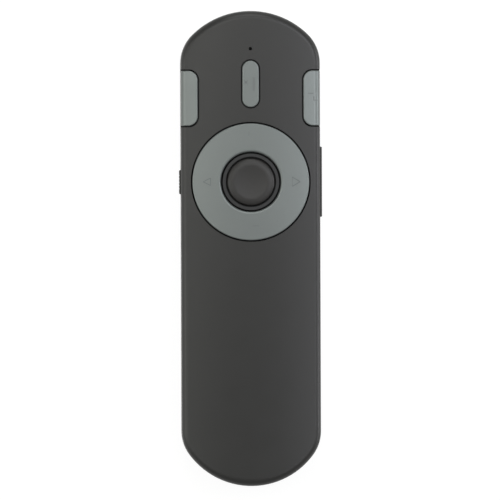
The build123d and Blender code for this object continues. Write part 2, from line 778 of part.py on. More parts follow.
with BuildPart() as centre_button:
    with BuildSketch(Plane.XZ.offset(-dial_y)):
        with BuildLine():
            Polyline(
                (0, stem_end_z),
                (stem_radius, stem_end_z),
                (stem_radius, cap_roof_z),
                (cap_radius - cap_wall, cap_roof_z),
                (cap_radius - cap_wall, cap_flange_z),
                (collar_bore_radius - slide_gap, cap_flange_z),
                (collar_bore_radius - slide_gap, cap_flange_z + cap_flange_height),
                (cap_radius, cap_flange_z + cap_flange_height),
                (cap_radius, cap_shoulder_z),
            )
            TangentArc((cap_radius, cap_shoulder_z), (cap_rim_radius, cap_rim_z), tangent=(0, 1))
            dish_centre = (0, cap_rim_z - cap_dish_depth)
            TangentArc(dish_centre, (cap_rim_radius, cap_rim_z), tangent=(1, 0))
            Line(dish_centre, (0, stem_end_z))
        make_face()
    revolve(axis=Axis((0, dial_y, 0), (0, 0, 1)))

with BuildPart() as laser_key:
    laser_flange_z = roof_z - free_gap - flange_height
    with BuildSketch(Plane.XY.offset(laser_flange_z)):
        with Locations((0, laser_key_y)):
            SlotOverall(laser_key_length, laser_key_width, rotation=90)
    extrude(amount=case_height - laser_flange_z + wall)
    add(crown(-running_gap), mode=Mode.INTERSECT)
    fillet(laser_key.faces().sort_by(Axis.Z)[-1].edges(), dial_edge_radius)
    flange_length = laser_key_length + 2 * flange_overhang
    flange_width = laser_key_width + 2 * flange_overhang
    with BuildSketch(Plane.XY.offset(laser_flange_z)):
        with Locations((0, laser_key_y)):
            SlotOverall(flange_length, flange_width, rotation=90)
    extrude(amount=flange_height - running_gap)
    posts([(0, laser_key_y)], stem_end_z, laser_flange_z, stem_radius)

side_keys = {}
for side, key_name in ((-1, "left_key"), (1, "right_key")):
    with BuildPart() as side_key:
        add(side_key_prism(side, 0.0, side_key_skirt_z))
        add(outer_form, mode=Mode.INTERSECT)
        fillet(side_key.faces().sort_by(Axis.Z)[-1].edges(), dial_edge_radius)
        inside_x = inner_x - running_gap
        span_box((0, side * inside_x), (rear_y, front_y), (0, side_key_flange_z), Mode.SUBTRACT)
        flange_rear_y = side_key_rear_y + flange_overhang
        flange_front_y = side_key_rear_y + side_key_length - flange_overhang
        flange_reach = side_key_dome_x - stem_radius
        span_box(
            (side * flange_reach, side * (side_key_inner_x + flange_height)),
            (flange_rear_y, flange_front_y),
            (side_key_flange_z, side_key_flange_z + flange_height),
        )
        posts([(side * side_key_dome_x, side_key_y)], stem_end_z, side_key_flange_z, stem_radius)
    side_keys[key_name] = side_key

# ------------------------------------------------------------- edge controls

with BuildPart() as volume_rocker:
    rocker_outer_x = half_width + control_proud
    rocker_half = rocker_length / 2
    span_box(
        (rocker_inner_x, rocker_outer_x),
        (dial_y - rocker_half, dial_y + rocker_half),
        (rocker_low_z, rocker_high_z),
    )
    fillet(volume_rocker.edges().group_by(Axis.X)[-1], dial_edge_radius)
    flange_half = rocker_half + rocker_flange_overlap + 2 * slide_gap
    flange_outer_x = inner_x - rocker_swing - slide_gap
    span_box(
        (rocker_inner_x, flange_outer_x),
        (dial_y - flange_half, dial_y + flange_half),
        (rocker_low_z + slide_gap, rocker_high_z - slide_gap),
    )
    posts(rocker_axis, rocker_pin_low_z, rocker_pin_high_z, pin_radius)

with BuildPart() as slider_knob:
    knob_outer_x = -half_width - control_proud
    knob_span = (dial_y - slider_length / 2, dial_y + slider_length / 2)
    span_box((knob_outer_x, -slider_inner_x), knob_span, (slider_low_z, slider_high_z))
    fillet(slider_knob.edges().group_by(Axis.X)[0], dial_edge_radius)
    knob_height = slider_high_z - slider_low_z
    with Locations((knob_outer_x, dial_y, slider_low_z)):
        with GridLocations(0, knob_groove_pitch, 1, knob_grooves):
            Cylinder(knob_groove_radius, knob_height, align=on_base, mode=Mode.SUBTRACT)
    # Plate behind the wall, which keeps the slot closed over the whole travel.
    plate_x = (-slider_inner_x - slider_plate, -slider_inner_x)
    plate_half = slider_length / 2 + slider_flange_overlap + slider_travel
    span_box(plate_x, (dial_y - plate_half, dial_y + plate_half), (slider_low_z, slider_high_z))
    # Fork that reaches down to the switch lever.
    fork_half = lever_width / 2 + slider_plate
    span_box(plate_x, (dial_y - fork_half, dial_y + fork_half), (lever_low_z, slider_low_z))
    span_box(plate_x, lever_y, (lever_low_z, lever_high_z), Mode.SUBTRACT)

with BuildPart() as switch_lever:
    span_box((min(plate_x), lever_tip_x), lever_y, (lever_low_z, lever_high_z))

# --------------------------------------------------------------------- laser

with BuildPart() as laser_barrel:
    rods(laser_axis, barrel_rear_y, barrel_front_y, barrel_radius)
    rods(laser_axis, barrel_rear_y, barrel_front_y, barrel_bore_radius, Mode.SUBTRACT)
    rods(laser_axis, barrel_rear_y, barrel_rear_y + diode_length, diode_radius + running_gap, Mode.SUBTRACT)

with BuildPart() as laser_diode:
    rods(laser_axis, barrel_rear_y - diode_flange, barrel_rear_y, barrel_radius - running_gap)
    rods(laser_axis, barrel_rear_y, barrel_rear_y + diode_length - slide_gap, diode_radius)

with BuildPart() as laser_lens:
    lens_front_y = barrel_front_y - lens_thickness
    rods(laser_axis, lens_front_y - lens_thickness, lens_front_y, barrel_bore_radius - running_gap)

with BuildPart() as laser_window:
    rods(laser_axis, window_seat_y - window_thickness, window_seat_y, window_radius)

with BuildPart() as laser_leads:
    lead_start_y = barrel_rear_y - diode_flange
    lead_end_y = lead_start_y - 2 * lead_bend
    for lead_x in (-lead_spread, lead_spread):
        with BuildLine() as lead_path:
            FilletPolyline(
                (lead_x, lead_start_y, laser_z),
                (lead_x, lead_end_y, laser_z),
                (lead_x, lead_end_y, board_bottom_z),
                radius=lead_bend,
            )
        with BuildSketch(Plane((lead_x, lead_start_y, laser_z), z_dir=(0, -1, 0))):
            Circle(lead_radius)
        sweep(path=lead_path.line)

# ------------------------------------------------------- batteries, contacts

cells = {}
for cell_name, cell_side, nub_end in (("battery_left", -1, 1), ("battery_right", 1, -1)):
    cell_x = cell_side * cell_spacing / 2
    can_length = cell_length - cell_nub_height
    if nub_end > 0:
        nub_tip_y = bay_front_y - contact_thickness
    else:
        nub_tip_y = bay_rear_y + contact_thickness
    shoulder_y = nub_tip_y - nub_end * cell_nub_height
    base_y = shoulder_y - nub_end * can_length
    with BuildPart() as cell:
        rods([(cell_x, cell_z)], min(base_y, shoulder_y), max(base_y, shoulder_y), cell_radius)
        fillet(cell.edges().filter_by(GeomType.CIRCLE), cell_edge_radius)
        rods([(cell_x, cell_z)], min(shoulder_y, nub_tip_y), max(shoulder_y, nub_tip_y), cell_nub_radius)
    cells[cell_name] = cell

contact_face_y = bay_front_y - contact_thickness
bridge_face_y = bay_rear_y + contact_thickness
contact_z = (cell_z - contact_height / 2, cell_z + contact_height / 2)

front_contacts = {}
for contact_name, contact_side in (("contact_front_positive", -1), ("contact_front_negative", 1)):
    contact_x = contact_side * cell_spacing / 2
    with BuildPart() as contact:
        contact_span = (contact_x - contact_width / 2, contact_x + contact_width / 2)
        span_box(contact_span, (contact_face_y, bay_front_y), contact_z)
        # Tab through the bay's wall, soldered under the board.
        tab_span = (contact_x - tab_width / 2, contact_x + tab_width / 2)
        tab_z = (board_bottom_z - contact_thickness, board_bottom_z)
        span_box(tab_span, (contact_face_y, board_rear_y + tab_width), tab_z)
    front_contacts[contact_name] = contact

with BuildPart() as contact_rear_bridge:
    bridge_half = cell_spacing / 2 + contact_width / 2
    span_box((-bridge_half, bridge_half), (bay_rear_y, bridge_face_y), contact_z)

springs = {}
coil_height = spring_height - spring_wire
for spring_name, spring_x, spring_y, spring_way in (
    ("spring_rear", -cell_spacing / 2, bridge_face_y + spring_wire / 2, 1),
    ("spring_front", cell_spacing / 2, contact_face_y - spring_wire / 2, -1),
):
    with BuildPart() as spring:
        with BuildLine() as coil:
            Helix(
                spring_pitch,
                coil_height,
                spring_radius,
                center=(spring_x, spring_y, cell_z),
                direction=(0, spring_way, 0),
            )
        coil_start = coil.line @ 0
        with BuildSketch(Plane(coil_start, z_dir=coil.line % 0)):
            Circle(spring_wire / 2)
        sweep(path=coil.line, is_frenet=True)
    springs[spring_name] = spring

# -------------------------------------------------------------- battery door

with BuildPart() as door_room:
    add(inner_form)
    span_box((-half_width, half_width), (rear_y, front_y), (door_thickness, case_height), Mode.INTERSECT)

with BuildPart() as battery_door:
    span_box((-door_half_width, door_half_width), (rear_y, door_front_y), (0, door_thickness))
    span_box((-door_half_width, door_half_width), (rear_y, rear_y + rear_rise), (0, door_tail_z))
    span_box(
        (-door_tongue_x, door_tongue_x),
        (rear_y, door_front_y + door_tongue_reach),
        (door_tongue, door_thickness),
    )
    add(outer_form, mode=Mode.INTERSECT)
    # Room above the plate, in front of the tail wall.
    add(door_room.part, mode=Mode.SUBTRACT)
    # Grip grooves cut into the outer face.
    with Locations((0, grip_y, 0)):
        with GridLocations(0, grip_pitch, 1, grip_grooves):
            Cylinder(grip_depth, grip_width, rotation=(0, 90, 0), mode=Mode.SUBTRACT)

# ------------------------------------------------------------------ receiver

with BuildPart() as receiver_sleeve:
    span_box(
        (-sleeve_width / 2, sleeve_width / 2),
        (sleeve_mouth_y, bay_rear_outer_y),
        (sleeve_bottom_z, sleeve_top_z),
    )
    span_box(
        (-sleeve_bore_width / 2, sleeve_bore_width / 2),
        (sleeve_mouth_y, plug_tip_y + slide_gap),
        (receiver_z - sleeve_bore_height / 2, receiver_z + sleeve_bore_height / 2),
        Mode.SUBTRACT,
    )

with BuildPart() as receiver_cap:
    with BuildSketch(Plane.XZ.offset(-receiver_cap_inner_y)):
        with Locations((0, receiver_z)):
            RectangleRounded(receiver_cap_width, receiver_cap_height, receiver_cap_corner)
    extrude(amount=receiver_cap_depth + wall)
    add(outer_form, mode=Mode.INTERSECT)
    # Groove for a fingernail across the outer face.
    with Locations((0, rear_y, receiver_z)):
        Cylinder(nail_groove_radius, receiver_cap_width / 2, rotation=(0, 90, 0), mode=Mode.SUBTRACT)

with BuildPart() as receiver_plug_shell:
    with BuildSketch(Plane.XZ.offset(-receiver_cap_inner_y)):
        with Locations((0, receiver_z)):
            RectangleRounded(plug_width, plug_height, plug_wall)
            RectangleRounded(
                plug_width - 2 * plug_wall,
                plug_height - 2 * plug_wall,
                plug_wall / 2,
                mode=Mode.SUBTRACT,
            )
    extrude(amount=receiver_cap_inner_y - plug_tip_y)

with BuildPart() as receiver_tongue:
    tongue_low_z = receiver_z - plug_height / 2 + plug_wall
    span_box(
        (-tongue_width / 2, tongue_width / 2),
        (receiver_cap_inner_y, plug_tip_y - plug_wall),
        (tongue_low_z, tongue_low_z + tongue_thickness),
    )

# ------------------------------------------------------------------- writing

pieces = {
    "top_shell": top_shell,
    "bottom_shell": bottom_shell,
    "housing_screws": housing_screws,
    "key_frame": key_frame,
    "frame_screws": frame_screws,
    "main_pcb": main_pcb,
    "mcu_chip": mcu_chip,
    "pcb_components": pcb_components,
    "side_switches": side_switches,
    "power_switch_body": power_switch_body,
    "status_led": status_led,
    "led_light_pipe": led_light_pipe,
    "keypad_mat": keypad_mat,
    **domes,
    "dial_gimbal": dial_gimbal,
    "dial_ring": dial_ring,
    "centre_button": centre_button,
    "laser_key": laser_key,
    **side_keys,
    "volume_rocker": volume_rocker,
    "slider_knob": slider_knob,
    "switch_lever": switch_lever,
    "laser_barrel": laser_barrel,
    "laser_diode": laser_diode,
    "laser_lens": laser_lens,
    "laser_window": laser_window,
    "laser_leads": laser_leads,
    **cells,
    **front_contacts,
    "contact_rear_bridge": contact_rear_bridge,
    **springs,
    "battery_door": battery_door,
    "receiver_sleeve": receiver_sleeve,
    "receiver_cap": receiver_cap,
    "receiver_plug_shell": receiver_plug_shell,
    "receiver_tongue": receiver_tongue,
}

for label, piece in pieces.items():
    piece.part.label = label
    export_step(piece.part, f"parts/{label}.step")
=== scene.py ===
# %% [markdown]
# # A hand-held presentation clicker
#
# The clicker is a slim dark case with grey keys. Its solid parts come ready made,
# in metres, each at its place. This lesson gives them their finishes, puts finer
# pieces in place of the cells, the screws, the centre cap, the plug and the rubber
# domes, adds the printed marks, and sets up a plain studio above a white table.

import math

import bmesh
import bpy
from mathutils import Euler, Matrix, Vector
from mathutils.bvhtree import BVHTree


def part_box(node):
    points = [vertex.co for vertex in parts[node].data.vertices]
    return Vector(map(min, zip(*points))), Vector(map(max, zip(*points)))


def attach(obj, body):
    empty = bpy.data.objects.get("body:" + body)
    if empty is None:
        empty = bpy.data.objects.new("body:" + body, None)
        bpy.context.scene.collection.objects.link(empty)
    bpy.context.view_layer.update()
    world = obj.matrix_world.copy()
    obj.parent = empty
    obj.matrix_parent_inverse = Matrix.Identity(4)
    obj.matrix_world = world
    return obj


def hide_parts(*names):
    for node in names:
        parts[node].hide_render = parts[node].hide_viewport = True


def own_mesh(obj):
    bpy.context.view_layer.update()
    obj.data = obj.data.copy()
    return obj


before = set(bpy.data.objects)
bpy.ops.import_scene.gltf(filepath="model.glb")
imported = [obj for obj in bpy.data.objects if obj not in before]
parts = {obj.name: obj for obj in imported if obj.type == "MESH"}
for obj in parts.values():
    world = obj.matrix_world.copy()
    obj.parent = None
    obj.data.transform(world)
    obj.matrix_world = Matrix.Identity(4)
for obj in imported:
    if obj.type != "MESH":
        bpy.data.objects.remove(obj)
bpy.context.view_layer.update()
MM = 0.001
TINY = 1e-7

# %% [markdown]
# ## Writing down a finish
#
# Each finish is a small graph of nodes. Every graph here starts the same way, from
# the Object coordinates, which stay with the part when it moves. A short helper
# that adds a node, sets its inputs and joins other nodes to them keeps each recipe
# readable.


# %% Colours
def srgb(red, green, blue):
    """A colour as read from a screen, 0 to 255, as the linear value shaders use."""
    channels = []
    for value in (red, green, blue):
        share = value / 255
        low = share / 12.92
        high = ((share + 0.055) / 1.055) ** 2.4
        channels.append(low if share <= 0.04045 else high)
    return (*channels, 1.0)


def shade(colour, factor):
    """The same colour, lighter or darker."""
    return (*[channel * factor for channel in colour[:3]], 1.0)


print("colour helpers ready")


# %% A helper for node graphs
class Finish:
    """A material whose nodes are added by name and joined as they are added."""

    def __init__(self, name):
        self.material = bpy.data.materials.new(name)
        self.material.use_nodes = True
        self.tree = self.material.node_tree
        self.shader = self.tree.nodes["Principled BSDF"]
        self.place = self.tree.nodes.new("ShaderNodeTexCoord").outputs["Object"]

    def put(self, socket, value):
        """Joins an output to the input, or sets the input to a value."""
        if isinstance(value, bpy.types.NodeSocket):
            self.tree.links.new(value, socket)
        else:
            socket.default_value = value

    def node(self, kind, inputs=(), **settings):
        """Adds a node. Inputs are pairs of a name or number and a value or output."""
        made = self.tree.nodes.new("ShaderNode" + kind)
        for key, value in settings.items():
            setattr(made, key, value)
        for key, value in inputs:
            self.put(made.inputs[key], value)
        return made

    def set(self, **values):
        """Sets the main shader's inputs, with _ for each space in a name."""
        for key, value in values.items():
            self.put(self.shader.inputs[key.replace("_", " ")], value)

    def math(self, operation, first, second=0.0):
        """One step of arithmetic."""
        made = self.node("Math", [(0, first), (1, second)], operation=operation)
        return made.outputs[0]

    def noise(self, size, detail=2.0, roughness=0.5):
        """Soft random values from 0 to 1, in blots of about that size in metres."""
        inputs = [("Vector", self.place), ("Scale", 1 / size), ("Detail", detail)]
        made = self.node("TexNoise", inputs + [("Roughness", roughness)])
        return made.outputs["Fac"]

    def spread(self, value, low, high, source=(0.3, 0.7)):
        """Maps a value's usual range onto low to high."""
        inputs = [("Value", value), ("From Min", source[0]), ("From Max", source[1])]
        made = self.node("MapRange", inputs + [("To Min", low), ("To Max", high)])
        return made.outputs["Result"]

    def mix(self, share, first, second):
        """Blends two colours by a share from 0 to 1."""
        inputs = [("Factor", share), (6, first), (7, second)]
        return self.node("Mix", inputs, data_type="RGBA").outputs[2]

    def bump(self, height, depth, strength=1.0, normal=None):
        """A normal pushed in and out by the height, over that depth in metres."""
        inputs = [("Height", height), ("Distance", depth), ("Strength", strength)]
        if normal is not None:
            inputs.append(("Normal", normal))
        return self.node("Bump", inputs).outputs["Normal"]

    def inside(self, centre, half):
        """1 in a block round the centre, reaching half to each side, and 0 outside."""
        inputs = [(0, self.place), (1, centre)]
        shift = self.node("VectorMath", inputs, operation="SUBTRACT")
        size = self.node("VectorMath", [(0, shift.outputs[0])], operation="ABSOLUTE")
        axes = self.node("SeparateXYZ", [(0, size.outputs[0])])
        total = 1.0
        for axis in range(3):
            near = self.math("LESS_THAN", axes.outputs[axis], half[axis])
            total = self.math("MULTIPLY", near, total)
        return total


print("finish helper ready")

# %% [markdown]
# ## Moulded plastic
#
# The case has a soft-touch coat: nearly matt, with a grain too fine to feel. One
# recipe makes it and the other moulded pieces: a colour with slow, faint mottling, a
# roughness that wanders a little as handling polishes it, and a fine grain in the
# normal. Two noises of different size keep the grain from looking regular.
#
# The keys have a satin grey paint that holds a little metal flake. Lower than a
# small depth under the crowned top face their colour turns black: painted shade
# down in the gaps round the keys, which draws the keys' edges. At the two long
# edges of the case there is no painted shade and the grey goes down the sides,
# because the side keys wrap over.

# %% Moulded plastic recipe
PLASTIC_INDEX = 1.46
CLOUD_SIZE, SPECK_SIZE, HANDLED_SIZE = 9 * MM, 0.6 * MM, 5 * MM
ROUGHNESS_WANDER = 0.02
FLAKE = 0.55
CROWN_Z, CROWN_RADIUS = 18.0 * MM, 84.75 * MM
# Painted shade in the keys' gaps: its depth under the crown, and how far out it goes.
GAP_SHADE_DEPTH, GAP_SHADE_EDGE_X = 0.45 * MM, 16.2 * MM


def flake_and_gap_shade(finish, gap_shade):
    """Adds metal flake, and painted shade: black below a depth under the crown."""
    axes = finish.node("SeparateXYZ", [(0, finish.place)])
    squared = finish.math("MULTIPLY", axes.outputs[0], axes.outputs[0])
    fall = finish.math("DIVIDE", squared, 2 * CROWN_RADIUS)
    crown = finish.math("SUBTRACT", CROWN_Z, fall)
    under = finish.math("SUBTRACT", crown, axes.outputs[2])
    # Painted shade: below that depth the key's colour turns black, as shade in the
    # gaps.
    deep = finish.spread(under, 0.0, 1.0, (GAP_SHADE_DEPTH, 1.6 * GAP_SHADE_DEPTH))
    off_centre = finish.math("ABSOLUTE", axes.outputs[0])
    middle = finish.math("LESS_THAN", off_centre, GAP_SHADE_EDGE_X)
    paint = finish.shader.inputs["Base Color"].links[0].from_socket
    painted_gap_shade = finish.math("MULTIPLY", deep, middle)
    finish.set(Base_Color=finish.mix(painted_gap_shade, paint, gap_shade), Metallic=FLAKE)


def moulded(
    name, colour, roughness, grain=0.25 * MM, depth=0.004 * MM, mottle=0.05, gap_shade=None
):
    """A moulded plastic with a fine grain; a gap shade colour paints shade low in gaps.
    """
    finish = Finish(name)
    cloud = finish.noise(CLOUD_SIZE, detail=3.0)
    speck = finish.noise(SPECK_SIZE, detail=1.0)
    clouded = finish.mix(cloud, shade(colour, 1 - mottle), shade(colour, 1 + mottle))
    flecks = finish.spread(speck, 0.0, 0.25)
    flecked = finish.mix(flecks, clouded, shade(colour, 1 - 2 * mottle))
    smooth, rough = roughness - ROUGHNESS_WANDER, roughness + ROUGHNESS_WANDER
    handled = finish.spread(finish.noise(HANDLED_SIZE), smooth, rough)
    coarse = finish.bump(finish.noise(grain), depth, 0.6)
    fine = finish.bump(finish.noise(grain / 3, detail=1.0), depth / 2, 0.4, coarse)
    finish.set(Base_Color=flecked, Roughness=handled, Normal=fine, IOR=PLASTIC_INDEX)
    # Painted shade low in the gaps, when a colour for it is given.
    if gap_shade is not None:
        flake_and_gap_shade(finish, gap_shade)
    return finish.material


print("moulded plastic recipe ready")

# %% Moulded finishes
CASE_GREY = srgb(32, 32, 30)
KEY_GREY = srgb(110, 115, 113)
CAP_GREY = srgb(34, 33, 31)
BLOCK_TAN = srgb(176, 150, 112)
# The black used as painted shade in the gaps round the keys.
GAP_SHADE_BLACK = srgb(24, 25, 25)
FINE = 0.002 * MM
finishes = {
    "case": moulded("soft_touch_case", CASE_GREY, 0.36),
    "cap_dark": moulded("satin_dark_cap", CAP_GREY, 0.46, 0.2 * MM, FINE),
    "inner_black": moulded("matt_black_frame", srgb(25, 26, 26), 0.5, 0.2 * MM),
    # The keys get painted shade, black low in the gaps round them.
    "key_grey": moulded(
        "satin_grey_key", KEY_GREY, 0.34, 0.18 * MM, FINE, 0.03, GAP_SHADE_BLACK
    ),
    "chip_black": moulded("chip_moulding", srgb(26, 26, 28), 0.5, 0.1 * MM, FINE),
    "component_tan": moulded("ceramic_blocks", BLOCK_TAN, 0.4, 0.1 * MM, FINE),
    "silicone": moulded("silicone_rubber", srgb(176, 176, 170), 0.5, 0.3 * MM, FINE),
}
print(len(finishes), "moulded finishes")

# %% [markdown]
# ## Metals, board and clear plastics
#
# The screws, springs and contacts are bright metal with fine rolling or turning
# marks, which a noise drawn out along one axis gives. The circuit board is green
# solder mask with the copper tracks faintly raised under it: a square-cornered
# cell pattern stands for them. The laser's window is a red clear plastic that lets
# part of the light through, and the light pipe is smoked so dark that it looks black.

# %% Metal recipe
MARK_SIZE = 0.25 * MM
BRASS, NICKEL = srgb(206, 172, 104), srgb(205, 204, 198)
ZINC, GOLD = srgb(150, 150, 154), srgb(226, 190, 112)


def metal(name, colour, roughness, streak=(1.0, 1.0, 1.0)):
    """A metal with fine turning or rolling marks drawn out along one axis."""
    finish = Finish(name)
    turned = finish.node("Mapping", [("Vector", finish.place), ("Scale", streak)])
    inputs = [("Vector", turned.outputs["Vector"]), ("Scale", 1 / MARK_SIZE)]
    marks = finish.node("TexNoise", inputs + [("Detail", 2.0)]).outputs["Fac"]
    tint = finish.mix(finish.noise(2 * MM), shade(colour, 0.92), shade(colour, 1.06))
    worn = finish.spread(marks, roughness - 0.06, roughness + 0.08)
    normal = finish.bump(marks, FINE, 0.5)
    finish.set(Base_Color=tint, Metallic=1.0, Roughness=worn, Normal=normal)
    return finish.material


finishes["brass_barrel"] = metal("turned_brass", BRASS, 0.28, (1.0, 0.1, 1.0))
finishes["contact_nickel"] = metal("nickel_plate", NICKEL, 0.24, (1.0, 0.3, 1.0))
finishes["screw_steel"] = metal("zinc_plated_steel", ZINC, 0.34)
gold_plate = metal("gold_plate", GOLD, 0.22, (1.0, 0.2, 1.0))
print("4 metals")

# %% Circuit board and clear plastics
TRACKS_PER_METRE = 420.0
TRACK_EDGE = (0.42, 0.46)
ACRYLIC_INDEX = 1.49


def board():
    """Green solder mask with the copper tracks faintly raised under it."""
    finish = Finish("green_solder_mask")
    inputs = [("Vector", finish.place), ("Scale", TRACKS_PER_METRE)]
    cells = finish.node("TexVoronoi", inputs, distance="MANHATTAN", feature="F1")
    track = finish.spread(cells.outputs["Distance"], 0.0, 1.0, TRACK_EDGE)
    tint = finish.mix(track, srgb(24, 92, 54), srgb(16, 66, 40))
    finish.set(Base_Color=tint, Roughness=0.32, Coat_Weight=0.3)
    finish.set(Normal=finish.bump(track, 0.03 * MM, 0.5))
    return finish.material


def clear(name, colour, roughness, through, index=ACRYLIC_INDEX):
    """A tinted clear plastic, a little cloudy from moulding."""
    finish = Finish(name)
    cloud = finish.noise(0.8 * MM)
    tint = finish.mix(cloud, shade(colour, 0.85), shade(colour, 1.1))
    worn = finish.spread(cloud, roughness, roughness + 0.08)
    finish.set(Base_Color=tint, Roughness=worn, Transmission_Weight=through, IOR=index)
    return finish.material


finishes["board_green"] = board()
finishes["led_clear"] = clear("smoked_light_pipe", srgb(3, 3, 3), 0.7, 0.0, 1.15)
finishes["lens_clear"] = clear("red_tinted_window", srgb(84, 14, 16), 0.08, 0.35)
print("board and clear plastics")

# %% [markdown]
# ## The cells' printed wraps
#
# A dry cell is a steel can in a shrunk plastic sleeve. The sleeve here is generic:
# slate grey, with a copper band at the end with the nub and a plus printed on it,
# and a minus at the other end. The print is part of the colour, so it is drawn
# with block masks: a plus is two crossed blocks, and each mask is 1 inside its
# block and 0 outside. The two cells lie head to tail.

# %% Battery wrap
CELL_X = 5.45 * MM
CELL_Z = 7.45 * MM
CELL_RADIUS = 5.25 * MM
LEFT_PLUS_Y, LEFT_MINUS_Y = 0.7 * MM, -43.8 * MM
RIGHT_PLUS_Y, RIGHT_MINUS_Y = -45.3 * MM, -0.8 * MM
LONG, SHORT, DEEP = 1.5 * MM, 0.35 * MM, 3.0 * MM
SIGN_IN = 6 * MM
BAND_IN, BAND_HALF = 5 * MM, 6 * MM


def wrap(name, x, plus_y, minus_y):
    """A shrunk sleeve with a copper band at the plus end and two printed signs."""
    finish = Finish(name)
    inward = 1 if minus_y > plus_y else -1
    band_at = (x, plus_y + inward * BAND_IN, CELL_Z)
    band = finish.inside(band_at, (1.0, BAND_HALF, 1.0))
    under = CELL_Z - CELL_RADIUS
    plus_at = (x, plus_y + inward * SIGN_IN, under)
    minus_at = (x, minus_y - inward * SIGN_IN, under)
    upright = finish.inside(plus_at, (SHORT, LONG, DEEP))
    crossed = finish.inside(plus_at, (LONG, SHORT, DEEP))
    minus = finish.inside(minus_at, (LONG, SHORT, DEEP))
    signs = finish.math("MAXIMUM", finish.math("MAXIMUM", upright, crossed), minus)
    cloud = finish.noise(4 * MM)
    slate = finish.mix(cloud, srgb(58, 66, 76), srgb(68, 76, 86))
    copper = finish.mix(cloud, srgb(158, 104, 62), srgb(178, 120, 74))
    printed = finish.mix(signs, finish.mix(band, slate, copper), srgb(232, 232, 226))
    finish.set(Base_Color=printed, Roughness=finish.spread(cloud, 0.26, 0.36))
    finish.set(Normal=finish.bump(finish.noise(1.2 * MM), 0.01 * MM, 0.5))
    return finish.material


left_wrap = wrap("battery_wrap_left", -CELL_X, LEFT_PLUS_Y, LEFT_MINUS_Y)
right_wrap = wrap("battery_wrap_right", CELL_X, RIGHT_PLUS_Y, RIGHT_MINUS_Y)
finishes["cell_wrap"] = left_wrap
print("2 printed wraps")

# %% Finishes on the parts
for part in parts.values():
    for material_slot in part.material_slots:
        material_slot.material = finishes[material_slot.material.name.split(".")[0]]
print("finishes set on", len(parts), "parts")

# %% [markdown]
# ## Turned pieces
#
# Cells, screws, domes and the cap are round, so a profile spun about an axis is the
# natural way to make them. The profile is a chain of points, each a radius and a
# height. Where it meets the axis, the spin leaves a ring of points on one spot, and
# merging them closes the pole. Merging comes before the normals are made to point
# outwards, because only a closed shape has an outside. Every new piece is shaded
# smooth, apart from its sharp edges.

# %% Helpers for new pieces
SHARP = math.radians(35)


def unique(items):
    """Each item once, in the order in which they come."""
    return list(dict.fromkeys(items))


def piece(name, shape, material, body, slot, *replaced):
    """Turns a bmesh into an object that rides on a body."""
    bmesh.ops.remove_doubles(shape, verts=shape.verts[:], dist=TINY)
    bmesh.ops.recalc_face_normals(shape, faces=shape.faces[:])
    mesh = bpy.data.meshes.new(name)
    shape.to_mesh(mesh)
    mesh.shade_smooth()
    mesh.set_sharp_from_angle(angle=SHARP)
    open_edges = sum(1 for edge in shape.edges if len(edge.link_faces) != 2)
    shape.free()
    mesh.materials.append(material)
    made = bpy.data.objects.new(name, mesh)
    bpy.context.scene.collection.objects.link(made)
    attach(made, body)
    if replaced:
        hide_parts(*replaced)
    print(name, len(mesh.polygons), "faces,", open_edges, "open edges")
    return made


def turned(shape, profile, steps, loop=False):
    """Spins a chain of (radius, height) points about the upright axis."""
    chain = [shape.verts.new((radius, 0.0, height)) for radius, height in profile]
    pairs = list(zip(chain, chain[1:]))
    if loop:
        pairs.append((chain[-1], chain[0]))
    edges = [shape.edges.new(pair) for pair in pairs]
    bmesh.ops.spin(
        shape,
        geom=chain + edges,
        cent=(0.0, 0.0, 0.0),
        axis=(0.0, 0.0, 1.0),
        angle=math.tau,
        steps=steps,
        use_merge=True,
    )
    bmesh.ops.remove_doubles(shape, verts=shape.verts[:], dist=TINY)


print("helpers ready")

# %% [markdown]
# ## The two cells
#
# Each cell is two pieces: the steel can with its flat end and its nub, and the
# sleeve that is folded over both ends. The sleeve's profile is a closed loop, so
# spinning it makes a tube with a wall. Both profiles are in millimetres.

# %% Cells
can_profile = [
    (0.0, 0.0), (3.9, 0.0), (4.05, 0.06), (4.1, 0.25), (4.9, 0.3), (5.0, 0.45),
    (5.0, 42.9), (4.85, 43.1), (2.5, 43.1), (2.3, 43.2), (1.95, 43.25),
    (1.9, 44.2), (1.8, 44.4), (1.6, 44.5), (0.0, 44.5),
]
sleeve_profile = [
    (4.3, 0.1), (4.95, 0.1), (5.15, 0.18), (5.25, 0.4), (5.25, 43.0), (5.15, 43.3),
    (4.95, 43.4), (4.1, 43.4), (4.1, 43.3), (4.9, 43.25), (5.05, 43.0), (5.05, 0.45),
    (4.9, 0.24), (4.3, 0.2),
]


def lay_down(shape, x, minus_y, towards):
    """Turns an upright cell along Y, its nub towards +1 or -1, onto its place."""
    turn = Matrix.Rotation(math.radians(-90 * towards), 4, "X")
    place = Matrix.Translation((x, minus_y, CELL_Z)) @ turn
    bmesh.ops.transform(shape, matrix=place, verts=shape.verts[:])


def cell(side, x, minus_y, towards, sleeve_finish):
    """A steel can and its sleeve in place of one plain cell."""
    node = "battery_" + side
    steel = finishes["contact_nickel"]
    can = bmesh.new()
    turned(can, [(r * MM, h * MM) for r, h in can_profile], 48)
    lay_down(can, x, minus_y, towards)
    piece("cell_can_" + side, can, steel, "housing", "contact_nickel", node)
    sleeve = bmesh.new()
    turned(sleeve, [(r * MM, h * MM) for r, h in sleeve_profile], 64, loop=True)
    lay_down(sleeve, x, minus_y, towards)
    piece("cell_sleeve_" + side, sleeve, sleeve_finish, "housing", "cell_wrap", node)


cell("left", -CELL_X, LEFT_MINUS_Y, 1, left_wrap)
cell("right", CELL_X, RIGHT_MINUS_Y, -1, right_wrap)

